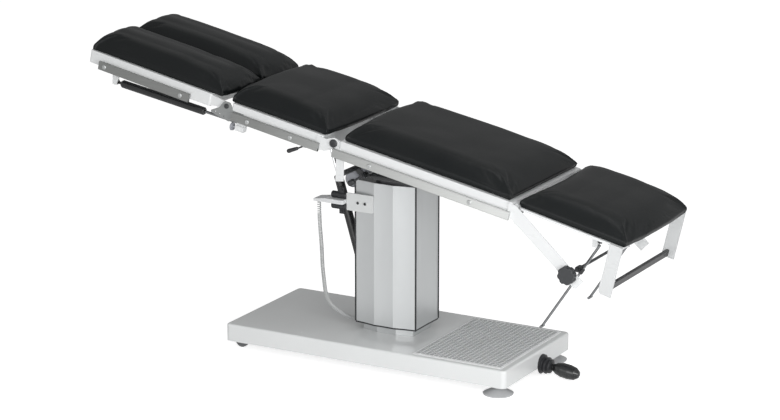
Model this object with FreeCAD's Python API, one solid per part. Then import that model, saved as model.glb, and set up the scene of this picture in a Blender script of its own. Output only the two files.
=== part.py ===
import FreeCAD, Part
import math
import os

V = FreeCAD.Vector

# Operating table on a telescopic column, in millimetres.
# +X points to the head end, -Y to the near side, +Z up; the origin is on the floor under the middle of its length.
# Shapes are drawn from the column's axis, which stands at COLUMN_X.

COLUMN_X = 55.0

# Base
BASE_LENGTH = 1092.0
BASE_WIDTH = 500.0
BASE_BOTTOM = 35.0
BASE_TOP = 96.6
SHEET = 2.0
BASE_CORNER = 16.0
BASE_EDGE = 7.0
CHASSIS_BOTTOM = 56.0
CHASSIS_TUBE_W = 40.0
CHASSIS_TUBE_H = 30.0
CHASSIS_HALF = BASE_LENGTH / 2 - 26.0
TRACK = 205.0
COLUMN_PLATE = 8.6
MAT_START = 186.0
MAT_END = BASE_LENGTH / 2 - 24.0
MAT_HALF = 230.0
MAT_THICK = 1.5
MAT_RIB = 1.5
MAT_PITCH = 17.0

# Column
COVER_LENGTH = 236.0
COVER_END = 164.0
COVER_WIDTH = 193.0
FACET = 74.0
DISH = 1.4
COVER_BOTTOM = 122.6
COVER_TOP = 632.0
COVER_WALL = 4.0
STAGE_STEP = 10.0
STAGE_WALL = 4.0
SEAL_R = 3.0
RIM = 5.0
MIDDLE_BOTTOM = 128.0
MIDDLE_TOP = 600.0
FOOT_TOP = 590.0
PAD_GAP = 0.3

# Tilt head
TILT_Z = 700.0
YOKE_PLATE = 5.0
CHEEK_IN = 62.0
CHEEK_THICK = 12.0
CHEEK_HALF = 30.0
TILT_SHAFT_R = 12.0
ROLL_SHAFT_R = 11.0
BLOCK_HALF = 30.0
BLOCK_HALF_H = 20.0
BOSS_WALL = 3.0
FIT = 0.05

# Table top, in its own flat coordinates: u along the top, h away from it, zero at the seat and back hinge
TOP_TILT = 11.3
TOP_X = -98.0
TOP_Z = 800.0
HALF_WIDTH = 258.0
CUSHION_HALF = HALF_WIDTH - 2.0
PAN_WALL = 3.0
PAN_BOTTOM = -40.0
RAIL_H = 30.0
RAIL_THICK = 10.0
RAIL_TOP = -15.0
SPACER = 4.0
SCREW_R = 8.5
SCREW_HEAD = 3.0
CUSHION_GAP = 0.3

SEAT_START = -410.0
SEAT_END = -45.0
BACK_START = 22.0
BACK_END = 680.0
LEG_START = -1005.0
LEG_END = -498.0
LEG_BOTTOM = -28.0
LEG_TOP = 17.0
LEG_PIN_U = -429.0
LEG_PIN_H = -4.0
LEG_LIFT = 0.5
LEG_SPLIT = 4.0
HEAD_PIN_U = 688.0
HEAD_PIN_H = 4.0
HEAD_DROP = 1.7
HEAD_LENGTH = 405.0
BOARD = 8.0

SIDE_PLATE = 3.0
PIN_R = 6.0
PIN_CAP_R = 8.5
CAP_R = 14.0

# Head stays
STAY_U = 924.0
STAY_H = -152.0
STAY_TOP_ANGLE = -11.3
STAY_Y = HALF_WIDTH - 73.0
STAY_ROD_R = 4.5
STAY_LENGTH = 360.0
STAY_OFFSET = 12.0
TIE_R = 5.0
KNOB_R = 31.0
KNOB_LOBES = 8
KNOB_THICK = 26.0

# Gas springs
LEG_SPRING_Y = HALF_WIDTH - 23.0
LEG_EYE_U = -897.0
LEG_EYE_H = -72.0
LEG_ANCHOR_U = -366.0
LEG_ANCHOR_H = -57.0
BACK_SPRING_Y = 140.0
BACK_EYE_U = 75.0
BACK_EYE_H = -117.0
BACK_ANCHOR_U = 380.0
BACK_ANCHOR_H = -56.0
STRUT_TOP_U = -165.0
STRUT_TOP_H = -79.0
STRUT_FOOT_X = -140.0
STRUT_FOOT_Z = 306.0
EYE_HALF = 6.0
EYE_WALL = 5.0


def block(x0, x1, y0, y1, z0, z1):
    return Part.makeBox(x1 - x0, y1 - y0, z1 - z0, V(x0, y0, z0))


def rounded_block(x0, x1, y0, y1, z0, z1, radius):
    """Block with rounded upright corners."""
    body = block(x0, x1, y0, y1, z0, z1)
    upright = [e for e in body.Edges if abs(e.tangentAt(e.FirstParameter).z) > 0.9]
    return body.makeFillet(radius, upright)


def bar(start, end, radius):
    run = end.sub(start)
    return Part.makeCylinder(radius, run.Length, start, run)


def across(x, z, radius, y0, y1):
    """Round bar that lies along Y."""
    return Part.makeCylinder(radius, y1 - y0, V(x, y0, z), V(0, 1, 0))


def plate(points, y0, y1):
    """Plate upright in the XZ plane, with the outline given as (x, z) corners."""
    corners = [V(x, y0, z) for x, z in points]
    outline = Part.makePolygon(corners + corners[:1])
    return Part.Face(outline).extrude(V(0, y1 - y0, 0))


def turned(profile, start, direction):
    """Solid turned about an axis from (distance along, radius) corners."""
    axis = FreeCAD.Rotation(V(0, 0, 1), direction)
    corners = [V(r, 0, d) for d, r in profile]
    face = Part.Face(Part.makePolygon(corners + corners[:1]))
    solid = face.revolve(V(0, 0, 0), V(0, 0, 1), 360)
    return moved(solid, FreeCAD.Placement(start, axis))


def moved(shape, placement):
    return shape.transformed(placement.toMatrix(), True)


def mirrored(shape):
    return shape.mirror(V(0, 0, 0), V(0, 1, 0))


def both(shape):
    return [shape, mirrored(shape)]


def save(name, solids, placement=None):
    if not isinstance(solids, list):
        solids = [solids]
    if placement is not None:
        solids = [moved(s, placement) for s in solids]
    pieces = []
    for shape in solids:
        pieces += shape.Solids
    shape = pieces[0] if len(pieces) == 1 else Part.makeCompound(pieces)
    shape = moved(shape, FreeCAD.Placement(V(COLUMN_X, 0, 0), FreeCAD.Rotation()))
    if not shape.isValid():
        print("not valid:", name)
    shape.exportStep("parts/" + name + ".step")
    return shape


TOP = FreeCAD.Placement(V(TOP_X, 0, TOP_Z), FreeCAD.Rotation(V(0, 1, 0), TOP_TILT))
ROLL_CENTRE = TOP.inverse().multVec(V(0, 0, TILT_Z))
ROLL_U = ROLL_CENTRE.x
ROLL_H = ROLL_CENTRE.z


def turned_about(u, h, angle):
    """Placement on the table top, turned about a hinge line at (u, h)."""
    there = FreeCAD.Placement(V(u, 0, h), FreeCAD.Rotation(V(0, 1, 0), angle))
    return TOP.multiply(there)


LEG = turned_about(LEG_PIN_U, LEG_PIN_H, LEG_LIFT)
HEAD = turned_about(HEAD_PIN_U, HEAD_PIN_H, HEAD_DROP)


def on_top(u, h, y=0.0):
    return TOP.multVec(V(u, y, h))


def lifted(u, y, h):
    """Point of a leg section on the table top, after the small lift of the legs."""
    pin = V(LEG_PIN_U, 0, LEG_PIN_H)
    return pin.add(FreeCAD.Rotation(V(0, 1, 0), LEG_LIFT).multVec(V(u, y, h).sub(pin)))


# Base


def column_outline(inset):
    """Corners of the column section: two flat ends and three facets on each long side."""
    half = COVER_LENGTH / 2 - inset
    end = COVER_END / 2 - inset
    middle = FACET / 2
    side = COVER_WIDTH / 2 - inset
    near = [(-half, -end), (-middle, -side), (middle, -side), (half, -end)]
    far = [(half, end), (middle, side), (-middle, side), (-half, end)]
    return near + far


def column_prism(inset, z0, z1):
    """Column section with slightly hollow facets, drawn upright."""
    corners = column_outline(inset)
    edges = []
    for i, a in enumerate(corners):
        b = corners[(i + 1) % len(corners)]
        run = math.hypot(b[0] - a[0], b[1] - a[1])
        inward = (-(b[1] - a[1]) / run, (b[0] - a[0]) / run)
        mid = ((a[0] + b[0]) / 2 + inward[0] * DISH, (a[1] + b[1]) / 2 + inward[1] * DISH)
        arc = Part.Arc(V(a[0], a[1], z0), V(mid[0], mid[1], z0), V(b[0], b[1], z0))
        edges.append(arc.toShape())
    face = Part.Face(Part.Wire(edges))
    return face.extrude(V(0, 0, z1 - z0))


def column_tube(inset, wall, z0, z1):
    return column_prism(inset, z0, z1).cut(column_prism(inset + wall, z0, z1))


LEVER_Y = 30.0
LEVER_X = BASE_LENGTH / 2 - 46.0
LEVER_Z = 50.0
LEVER_HOLE_R = 20.0
BOOT_R = 34.0
LEVER_RUN = V(187, 0, -24)
FOOT_INSET = 2 * STAGE_STEP
COVER_SLOT = 1.0


def base_cover():
    """Folded sheet cover, open below, with the column's opening and the lever's hole."""
    half_l = BASE_LENGTH / 2
    half_w = BASE_WIDTH / 2
    outer = rounded_block(-half_l, half_l, -half_w, half_w, BASE_BOTTOM, BASE_TOP, BASE_CORNER)
    rim = [e for e in outer.Edges if e.BoundBox.ZMin > BASE_TOP - 0.1]
    outer = outer.makeFillet(BASE_EDGE, rim)
    inner = rounded_block(-half_l + SHEET, half_l - SHEET, -half_w + SHEET, half_w - SHEET,
                          BASE_BOTTOM, BASE_TOP - SHEET, BASE_CORNER - SHEET)
    edge = [e for e in inner.Edges if e.BoundBox.ZMin > BASE_TOP - SHEET - 0.1]
    inner = inner.makeFillet(BASE_EDGE - SHEET, edge)
    cover = outer.cut(inner)
    cover = cover.cut(column_prism(FOOT_INSET - COVER_SLOT, BASE_BOTTOM, BASE_TOP))
    hole = Part.makeCylinder(LEVER_HOLE_R, 4 * SHEET, V(half_l - 2 * SHEET, LEVER_Y, LEVER_Z - 4), V(1, 0, 0))
    return cover.cut(hole)


def chassis_frame():
    """Welded frame of square tube inside the cover, with the column's plate."""
    low = CHASSIS_BOTTOM
    high = CHASSIS_BOTTOM + CHASSIS_TUBE_H
    half = CHASSIS_TUBE_W / 2
    side = block(-CHASSIS_HALF, CHASSIS_HALF, -TRACK - half, -TRACK + half, low, high)
    frame = side.fuse(mirrored(side))
    for x in (-CHASSIS_HALF + half, -110.0, 110.0):
        frame = frame.fuse(block(x - half, x + half, -TRACK, TRACK, low, high))
    frame = frame.removeSplitter()
    top = block(-140, 140, -120, 120, high - 1, high + COLUMN_PLATE)
    frame = frame.fuse(top)
    pivot = LEVER_Z
    for y in (-95.0, 95.0):
        hanger = block(LEVER_X - 12, LEVER_X + 12, y - 4, y + 4, pivot - 12, high)
        frame = frame.fuse(hanger)
    beam = block(LEVER_X - 12, LEVER_X + 12, -TRACK, TRACK, high - 14, high)
    frame = frame.fuse(beam).removeSplitter()
    return frame.cut(across(LEVER_X, pivot, 8 + FIT, -TRACK, TRACK))


def tread_mat():
    """Ribbed rubber mat on the standing place."""
    mat = rounded_block(MAT_START, MAT_END, -MAT_HALF, MAT_HALF, BASE_TOP, BASE_TOP + MAT_THICK, 5)
    count = int((2 * MAT_HALF - MAT_PITCH) / MAT_PITCH)
    rib = 4.0
    first = -(count - 1) * MAT_PITCH / 2
    top = BASE_TOP + MAT_THICK
    for i in range(count):
        y = first + i * MAT_PITCH
        mat = mat.fuse(block(MAT_START + 8, MAT_END - 8, y - rib / 2, y + rib / 2, top, top + MAT_RIB))
    return mat


def levelling_foot(y):
    """Conical foot with its stem up into the chassis."""
    profile = [(0, 0), (0, 50), (4, 52), (22, 17), (24, 17), (24, 9), (CHASSIS_BOTTOM, 9), (CHASSIS_BOTTOM, 0)]
    return turned(profile, V(CHASSIS_HALF - 20, y, 0), V(0, 0, 1))


CASTOR_X = 55.0 - BASE_LENGTH / 2
CASTOR_TRACK = 190.0
CASTOR_TRAIL = 24.0
CASTOR_R = 25.0
CASTOR_HALF = 9.0


def castor_fork(y):
    """Swivelling fork of a castor, with the wheel's axle."""
    top = CHASSIS_BOTTOM - 0.3
    head = turned([(0, 0), (0, 20), (3, 22), (top - 50, 22), (top - 50, 0)], V(CASTOR_X, y, 50), V(0, 0, 1))
    axle_x = CASTOR_X - CASTOR_TRAIL
    cheek = plate([(CASTOR_X + 16, 51.5), (CASTOR_X - 20, 51.5),
                   (axle_x - 7, CASTOR_R - 3), (axle_x, CASTOR_R - 8),
                   (axle_x + 7, CASTOR_R - 3)], y - CASTOR_HALF - 4, y - CASTOR_HALF - 1)
    other = cheek.copy()
    other.translate(V(0, 2 * CASTOR_HALF + 5, 0))
    axle = across(axle_x, CASTOR_R, 4, y - CASTOR_HALF - 4, y + CASTOR_HALF + 4)
    return head.fuse(cheek).fuse(other).fuse(axle)


def wheel(x, y, z, radius, half, bore):
    profile = [(-half, bore), (-half, radius - 4), (-half + 3, radius),
               (half - 3, radius), (half, radius - 4), (half, bore)]
    return turned(profile, V(x, y, z), V(0, 1, 0))


WHEEL_X = BASE_LENGTH / 2 - 66.0
WHEEL_Z = 28.0
WHEEL_Y = 130.0


def foot_lever():
    """Pedal outside, shaft through the end wall, and the rocker that carries the wheel axle inside."""
    start = V(LEVER_X, LEVER_Y, LEVER_Z)
    direction = V(LEVER_RUN)
    direction.normalize()
    shaft = bar(start, start.add(direction * 117), 9)
    grip = turned([(0, 0), (2, 12), (14, 20), (34, 25), (60, 25.5), (82, 22), (96, 12), (100, 0)],
                  start.add(direction * 90), direction)
    lever = shaft.fuse(grip)
    lever = lever.fuse(across(LEVER_X, LEVER_Z, 8, -110, 110))
    lever = lever.fuse(across(LEVER_X, LEVER_Z, 14, LEVER_Y - 14, LEVER_Y + 14))
    for y in (-60.0, 60.0):
        arm = plate([(LEVER_X - 5, LEVER_Z + 11), (LEVER_X + 8, LEVER_Z + 5), (LEVER_X + 8, LEVER_Z - 8),
                     (WHEEL_X + 5, WHEEL_Z - 9), (WHEEL_X - 9, WHEEL_Z - 5),
                      (WHEEL_X - 9, WHEEL_Z + 6)], y - 4, y + 4)
        lever = lever.fuse(arm)
    return lever.fuse(across(WHEEL_X, WHEEL_Z, 6, -WHEEL_Y - 14, WHEEL_Y + 14))


def lever_boot():
    """Bellows boot between the end wall and the pedal, hollow round the shaft."""
    folds = [(-8, BOOT_R), (5, BOOT_R), (7, 29), (11, 29), (14, 23), (17, 23), (20, 29), (24, 29), (27, 21),
             (30, 21), (33, 25), (37, 24), (40, 15)]
    outer = folds + [(40, 10.5), (-8, 18)]
    wall = BASE_LENGTH / 2
    slope = LEVER_RUN.z / LEVER_RUN.x
    start = V(wall, LEVER_Y, LEVER_Z + (wall - LEVER_X) * slope)
    boot = turned(outer, start, LEVER_RUN)
    return boot.cut(block(wall - 40, wall, LEVER_Y - 60, LEVER_Y + 60, 0, 120))


GLAND_Y = -20.0
CORD_R = 7.5
CORD_Z = 106.0
CORD_POINTS = [(-252, -99, 549), (-252, -99, 492), (-248, -99, 434), (-244, -97, 374), (-243, -96, 314),
               (-238, -93, 256), (-236, -87, 208), (-222, -76, 168), (-195, -57, 140), (-160, -36, 116),
               (-106, -20, 106)]


def cord_tube():
    """Curly cord's outer shape: one tube of straight runs joined by arcs as large as the runs allow."""
    points = [V(*p) for p in CORD_POINTS]
    edges = []
    last = points[0]
    radii = []
    for before, here, after in zip(points, points[1:], points[2:]):
        a = before.sub(here)
        b = after.sub(here)
        turn = math.pi - a.getAngle(b)
        reach = 0.45 * min(a.Length, b.Length)
        radii.append(reach / math.tan(turn / 2))
        a.normalize()
        b.normalize()
        enter = here.add(a * reach)
        leave = here.add(b * reach)
        middle = here.add((a + b).normalize() * (radii[-1] / math.cos(turn / 2) - radii[-1]))
        edges.append(Part.LineSegment(last, enter).toShape())
        edges.append(Part.Arc(enter, middle, leave).toShape())
        last = leave
    edges.append(Part.LineSegment(last, points[-1]).toShape())
    path = Part.Wire(edges)
    start = Part.Wire(Part.Circle(points[0], points[1].sub(points[0]), CORD_R).toShape())
    tube = path.makePipeShell([start], True, True)
    print("cord length", round(path.Length, 1), "radii", [round(r) for r in radii])
    print("cord volume ratio", round(tube.Volume / (path.Length * math.pi * CORD_R ** 2), 4))
    return tube


def cord_gland():
    """Gland on the foot of the column where the cord goes in."""
    wall = -COVER_LENGTH / 2 + FOOT_INSET + DISH
    profile = [(0, 0), (0, 9.2), (5, 9.2), (6, 8.4), (10, 8.4), (10, 0)]
    gland = turned(profile, V(wall, GLAND_Y, CORD_Z), V(-1, 0, 0))
    return gland.cut(column_prism(FOOT_INSET, BASE_TOP, COVER_BOTTOM))


def lift_drive():
    """Electric lifting drive that stands inside the column: motor and screw jack."""
    low = CHASSIS_BOTTOM + CHASSIS_TUBE_H + COLUMN_PLATE
    motor = Part.makeCylinder(28, 150, V(45, 0, low))
    jack = Part.makeCylinder(24, 430, V(-20, 0, low))
    gear = rounded_block(-50, 80, -34, 34, low, low + 50, 12)
    return gear.fuse(motor).fuse(jack)


# Column


def column_seals():
    """Dark strips in the four corners and the dark lip round the lower edge."""
    strips = []
    for x in (-COVER_LENGTH / 2, COVER_LENGTH / 2):
        for y in (-COVER_END / 2, COVER_END / 2):
            strips.append(Part.makeCylinder(SEAL_R, COVER_TOP - COVER_BOTTOM - RIM, V(x, y, COVER_BOTTOM + RIM)))
    return strips + [column_tube(0, COVER_WALL, COVER_BOTTOM, COVER_BOTTOM + RIM)]


def column_cover(seals):
    cover = column_tube(0, COVER_WALL, COVER_BOTTOM + RIM, COVER_TOP)
    for strip in seals[:4]:
        cover = cover.cut(strip)
    return cover


def guide_pads():
    """Sliding pads on both faces of the middle stage."""
    pads = []
    end = COVER_LENGTH / 2
    for side in (-1, 1):
        for z in (MIDDLE_BOTTOM + 6, MIDDLE_TOP - 46):
            outer0 = end - STAGE_STEP - DISH
            outer1 = end - COVER_WALL - DISH - PAD_GAP
            pad = block(min(side * outer0, side * outer1), max(side * outer0, side * outer1), -25, 25, z, z + 40)
            pads.append(pad.cut(column_prism(STAGE_STEP, MIDDLE_BOTTOM, MIDDLE_TOP)))
    return pads


def off_column(shape):
    """Shape with the column cover's outside taken away, so that it seats on the hollow facets."""
    return shape.cut(column_prism(0, COVER_BOTTOM, COVER_TOP))


def tilt_mounts():
    """Yoke on the column for the tilt shaft, and the bracket for the foot of the tilt strut."""
    low = COVER_TOP
    base = column_prism(COVER_WALL, low - YOKE_PLATE, low)
    root = low - 1
    cheek = plate([(-CHEEK_HALF - 12, root), (-20, TILT_Z + 4), (20, TILT_Z + 4), (CHEEK_HALF + 12, root)],
                  -CHEEK_IN - CHEEK_THICK, -CHEEK_IN)
    cheek = cheek.fuse(across(0, TILT_Z, 20, -CHEEK_IN - CHEEK_THICK, -CHEEK_IN))
    yoke = base.fuse(cheek).fuse(mirrored(cheek)).removeSplitter()
    yoke = yoke.cut(across(0, TILT_Z, TILT_SHAFT_R + FIT, -100, 100))
    wall = -COVER_LENGTH / 2 + DISH
    foot = block(wall - 6, wall + 2, -24, 24, STRUT_FOOT_Z - 30, STRUT_FOOT_Z + 30)
    pin = across(STRUT_FOOT_X, STRUT_FOOT_Z, PIN_R, -16, 16)
    ear = plate([(wall - 2, STRUT_FOOT_Z - 20), (wall - 2, STRUT_FOOT_Z + 20),
                 (STRUT_FOOT_X - 8, STRUT_FOOT_Z + 8), (STRUT_FOOT_X - 8, STRUT_FOOT_Z - 8)],
                EYE_HALF + 1, EYE_HALF + 5)
    bracket = off_column(foot.fuse(pin).fuse(ear).fuse(mirrored(ear)))
    return [yoke, bracket]


def head_skirt():
    """Dark skirt round the tilt head, open above and at its left end."""
    low = COVER_TOP
    outer = rounded_block(-26, 112, -84, 84, low, low + 55, 12)
    inner = rounded_block(-40, 108, -80, 80, low - 1, low + 56, 9)
    skirt = outer.cut(inner)
    slope = plate([(-60, low + 65), (-60, low + 57), (112, low + 35), (140, low + 35), (140, low + 65)],
                  -100, 100)
    skirt = skirt.cut(slope)
    return skirt.cut(block(-40, -20, -100, 100, low - 1, low + 60))


MOTOR_X = -150.0
MOTOR_Z = 620.0
MOTOR_R = 28.0


def tilt_motor():
    """Drum of the tilt drive on the left of the column."""
    profile = [(0, 0), (0, MOTOR_R - 4), (4, MOTOR_R), (96, MOTOR_R), (100, MOTOR_R - 4), (100, 0)]
    drum = turned(profile, V(MOTOR_X, -50, MOTOR_Z), V(0, 1, 0))
    wall = -COVER_LENGTH / 2 + DISH
    return off_column(drum.fuse(block(MOTOR_X, wall + 2, -22, 22, MOTOR_Z - 14, MOTOR_Z + 10)))


HOLDER = FreeCAD.Placement(V(-COVER_LENGTH / 2, -COVER_WIDTH / 2, 0), FreeCAD.Rotation())
HOLDER_Z = 556.0
HOLDER_PLATE = 5.0
HOLDER_LEFT = -24.0
HOLDER_RIGHT = 80.0
GRIP_R = 12.0
GRIP_LENGTH = 57.0
GRIP_GAP = 14.6


def handset_plate():
    """Plate on the near facet of the column that carries the two holding grips, with its screws."""
    body = block(HOLDER_LEFT, HOLDER_RIGHT, -HOLDER_PLATE, 0, HOLDER_Z - 31, HOLDER_Z + 31)
    edges = [e for e in body.Edges if abs(e.tangentAt(e.FirstParameter).y) > 0.9]
    body = body.makeFillet(5, edges)
    screws = []
    for x in (22.0, 50.0):
        profile = [(0, 0), (0, 6), (3.4, 6), (3.4, 3), (1.6, 3), (1.6, 0)]
        screws.append(turned(profile, V(x, -HOLDER_PLATE, HOLDER_Z), V(0, -1, 0)))
        body = body.fuse(across(x, HOLDER_Z, 8, -1, 20))
    return [off_column(moved(body, HOLDER))] + [moved(s, HOLDER) for s in screws]


def handset_grips():
    """Two rubber rollers, above and below the handset, with their lugs and bolts."""
    pieces = []
    y = -HOLDER_PLATE / 2
    for side in (-1, 1):
        z = HOLDER_Z + side * (GRIP_GAP / 2 + GRIP_R)
        profile = [(0, 0), (0, GRIP_R - 2), (2, GRIP_R), (GRIP_LENGTH - 2, GRIP_R), (GRIP_LENGTH, GRIP_R - 2),
                   (GRIP_LENGTH, 0)]
        roller = turned(profile, V(HOLDER_LEFT - GRIP_LENGTH - 0.3, y, z), V(1, 0, 0))
        far = z + side * (GRIP_R + 14)
        lug = block(HOLDER_LEFT - 26, HOLDER_LEFT - 8, y - 7, y + 3, min(z, far), max(z, far))
        pieces.append(roller.fuse(lug))
        bolt = turned([(0, 0), (0, 5), (3, 5), (3, 0)], V(HOLDER_LEFT - 17, y - 7, far - side * 7), V(0, -1, 0))
        pieces.append(bolt)
    return [moved(s, HOLDER) for s in pieces]


HANDSET_THICK = 14.0
HANDSET_W = 56.0


def handset():
    """Flat hand control between the grips, thinner towards its cord end."""
    half = HANDSET_THICK / 2
    right = HOLDER_LEFT - 1
    left = right - 117
    profile = [(right, HOLDER_Z - half), (right, HOLDER_Z + half),
               (left + 44, HOLDER_Z + half), (left, HOLDER_Z + 1),
               (left, HOLDER_Z - half)]
    middle = -HOLDER_PLATE / 2
    body = plate(profile, middle - HANDSET_W / 2, middle + HANDSET_W / 2)
    edges = [e for e in body.Edges if abs(e.tangentAt(e.FirstParameter).z) > 0.9]
    return moved(body.makeFillet(3, edges), HOLDER)


# Tilt block and seat


def tilt_block():
    """Cross block: one shaft lies in the column's yoke and the other carries the table top."""
    middle = block(-BLOCK_HALF, BLOCK_HALF, -BLOCK_HALF, BLOCK_HALF, -BLOCK_HALF_H, BLOCK_HALF_H)
    cross = across(0, 0, TILT_SHAFT_R, -CHEEK_IN - CHEEK_THICK - 3, CHEEK_IN + CHEEK_THICK + 3)
    boss = across(0, 0, TILT_SHAFT_R + BOSS_WALL, -CHEEK_IN + 1, CHEEK_IN - 1)
    along = Part.makeCylinder(ROLL_SHAFT_R, 2 * BLOCK_HALF + 50, V(-BLOCK_HALF - 25, 0, 0), V(1, 0, 0))
    return middle.fuse(boss).fuse(cross).fuse(along)


BAR_U = 42.0
BAR_H = -100.0
BAR_R = 9.0
SADDLE_H = -43.0
SADDLE_THICK = 8.0
LUG_THICK = 12.0


def carrier_frame():
    """Dark carrier under the seat: saddle on the roll shaft, webs to the cross bar, and spring lugs."""
    half_u = BLOCK_HALF + 1 + LUG_THICK
    saddle = block(ROLL_U - half_u, ROLL_U + half_u, -46, 46, SADDLE_H - SADDLE_THICK, SADDLE_H)
    frame = saddle
    for side in (-1, 1):
        inner = ROLL_U + side * (BLOCK_HALF + 1)
        outer = inner + side * LUG_THICK
        low, high = min(inner, outer), max(inner, outer)
        lug = block(low, high, -20, 20, ROLL_H, SADDLE_H - 1)
        round_end = Part.makeCylinder(20, LUG_THICK, V(low, 0, ROLL_H), V(1, 0, 0))
        frame = frame.fuse(lug).fuse(round_end)
    frame = frame.cut(Part.makeCylinder(ROLL_SHAFT_R + FIT, 200, V(ROLL_U - 100, 0, ROLL_H), V(1, 0, 0)))
    web = plate([(BAR_U - 8, BAR_H + 6), (BAR_U - 8, SADDLE_H), (ROLL_U - half_u + 4, SADDLE_H),
                 (ROLL_U - half_u + 4, SADDLE_H - SADDLE_THICK), (BAR_U + 16, BAR_H + 6),
                 (BAR_U + 8, BAR_H - 4)], 30, 38)
    frame = frame.fuse(web).fuse(mirrored(web))
    frame = frame.fuse(across(BAR_U, BAR_H, BAR_R, -HALF_WIDTH - 0.5, HALF_WIDTH + 0.5))
    y0 = BACK_SPRING_Y + EYE_HALF + 1
    lug = plate([(BAR_U - 8, BAR_H - 4), (BAR_U + 4, BAR_H + 8), (BACK_EYE_U + 9, BACK_EYE_H + 6),
                 (BACK_EYE_U + 6, BACK_EYE_H - 10), (BACK_EYE_U - 8, BACK_EYE_H - 8)], y0, y0 + 5)
    pin = across(BACK_EYE_U, BACK_EYE_H, PIN_R, BACK_SPRING_Y - EYE_HALF - 10, y0 + 5)
    lug = lug.fuse(pin)
    lever_pin = across(BACK_EYE_U, BACK_EYE_H, PIN_R, -y0 - 18, -y0 - 4)
    frame = frame.fuse(lug).fuse(mirrored(lug)).fuse(lever_pin).removeSplitter()
    hanger = plate([(STRUT_TOP_U - 20, PAN_BOTTOM), (STRUT_TOP_U + 20, PAN_BOTTOM),
                    (STRUT_TOP_U + 9, STRUT_TOP_H - 8), (STRUT_TOP_U - 9, STRUT_TOP_H - 8)], 15, 21)
    hanger = hanger.fuse(across(STRUT_TOP_U, STRUT_TOP_H, PIN_R - 1, 9, 16))
    return [frame, hanger]


def pan(u0, u1, y0, y1, h0, h1, ribs):
    """Folded pan, open below, with cross ribs inside."""
    outer = rounded_block(u0, u1, y0, y1, h0, h1, 5)
    inner = rounded_block(u0 + PAN_WALL, u1 - PAN_WALL, y0 + PAN_WALL, y1 - PAN_WALL, h0, h1 - PAN_WALL, 3)
    body = outer.cut(inner)
    for u in ribs:
        rib = block(u - 20, u + 20, y0 + PAN_WALL - 0.5, y1 - PAN_WALL + 0.5, h0, h0 + 24)
        slot = block(u - 20 + PAN_WALL, u + 20 - PAN_WALL, y0, y1, h0 + PAN_WALL, h0 + 24)
        body = body.fuse(rib.cut(slot))
    return body


def seat_pan():
    return pan(SEAT_START, SEAT_END, -HALF_WIDTH, HALF_WIDTH, PAN_BOTTOM, 12, [STRUT_TOP_U, -340.0])


def rail(u0, u1, top, screws, y_side=1):
    """Side rail with its spacers and screws; y_side picks the near (-1) or far side."""
    outer = HALF_WIDTH + SPACER + RAIL_THICK
    inner = HALF_WIDTH + SPACER
    body = block(u0, u1, inner, outer, top - RAIL_H, top)
    edges = [e for e in body.Edges if abs(e.tangentAt(e.FirstParameter).x) > 0.9]
    body = body.makeChamfer(1.2, edges)
    pieces = [body]
    for u in screws:
        h = top - RAIL_H / 2
        head = [(0, 0), (0, SCREW_R), (1.2, SCREW_R), (SCREW_HEAD, SCREW_R - 2.5), (SCREW_HEAD, 3), (1.4, 3), (1.4, 0)]
        pieces.append(turned(head, V(u, outer, h), V(0, 1, 0)))
        pieces.append(across(u, h, SCREW_R - 1.5, HALF_WIDTH, inner))
    if y_side < 0:
        pieces = [mirrored(p) for p in pieces]
    return pieces


def both_rails(u0, u1, top, screws):
    return rail(u0, u1, top, screws) + rail(u0, u1, top, screws, -1)


EYE_SIDE = HALF_WIDTH + 0.5
LATCH = V(LEG_ANCHOR_U - 16, -HALF_WIDTH - 1, LEG_ANCHOR_H - 9)
LATCH_RUN = V(-1, 0, -0.15)
LATCH_R = 4.0


def side_brackets():
    """Light side plates with the seat and back hinge eye above and the drop plate down to the cross bar."""
    arm = plate([(-66, 6), (-66, -38), (-30, -38), (0, -20), (14, -22), (31, -127), (61, -117), (46, -30), (19, -6),
                 (14, 12), (0, 19), (-14, 14), (-30, 6)], EYE_SIDE, EYE_SIDE + SIDE_PLATE)
    arm = arm.fuse(across(0, 0, 19, EYE_SIDE, EYE_SIDE + SIDE_PLATE)).removeSplitter()
    arm = arm.cut(across(0, 0, PIN_R, EYE_SIDE - 1, EYE_SIDE + 10))
    weld = block(-62, -46, HALF_WIDTH, EYE_SIDE, -34, 4)
    arm = arm.fuse(weld)
    anchor = block(LEG_ANCHOR_U - 16, LEG_ANCHOR_U + 18, LEG_SPRING_Y + EYE_HALF + 2, HALF_WIDTH,
                   LEG_ANCHOR_H - 19, PAN_BOTTOM)
    lug = block(LEG_ANCHOR_U - 16, LEG_ANCHOR_U + 18, HALF_WIDTH - 1, HALF_WIDTH + 8, LEG_ANCHOR_H - 19, LEG_ANCHOR_H)
    anchor = anchor.fuse(lug).removeSplitter()
    bore = [(-9, 0), (-9, LATCH_R + FIT), (5, LATCH_R + FIT), (5, 0)]
    anchor = anchor.cut(turned(bore, V(LATCH.x, -LATCH.y, LATCH.z), LATCH_RUN))
    return both(arm) + both(anchor)


def gusset_plates():
    """Bright plates between the seat and the leg hinge pins."""
    outline = [(-488, -36), (-456, -15), (-446, 4), (-438, 11), (-420, 11), (-412, 4), (-404, -13), (-360, -13),
               (-360, -40), (-378, -46), (-404, -47), (-412, -55), (-486, -44)]
    body = plate(outline, HALF_WIDTH, HALF_WIDTH + SPACER)
    body = body.cut(across(LEG_PIN_U, LEG_PIN_H, PIN_R, HALF_WIDTH - 1, HALF_WIDTH + 10))
    for u, h in ((-470, -36), (-452, -40), (-434, -44)):
        body = body.cut(across(u, h, 2.5, HALF_WIDTH - 1, HALF_WIDTH + 10))
    return both(body)


EAR_IN = HALF_WIDTH - PAN_WALL - 6


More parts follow.
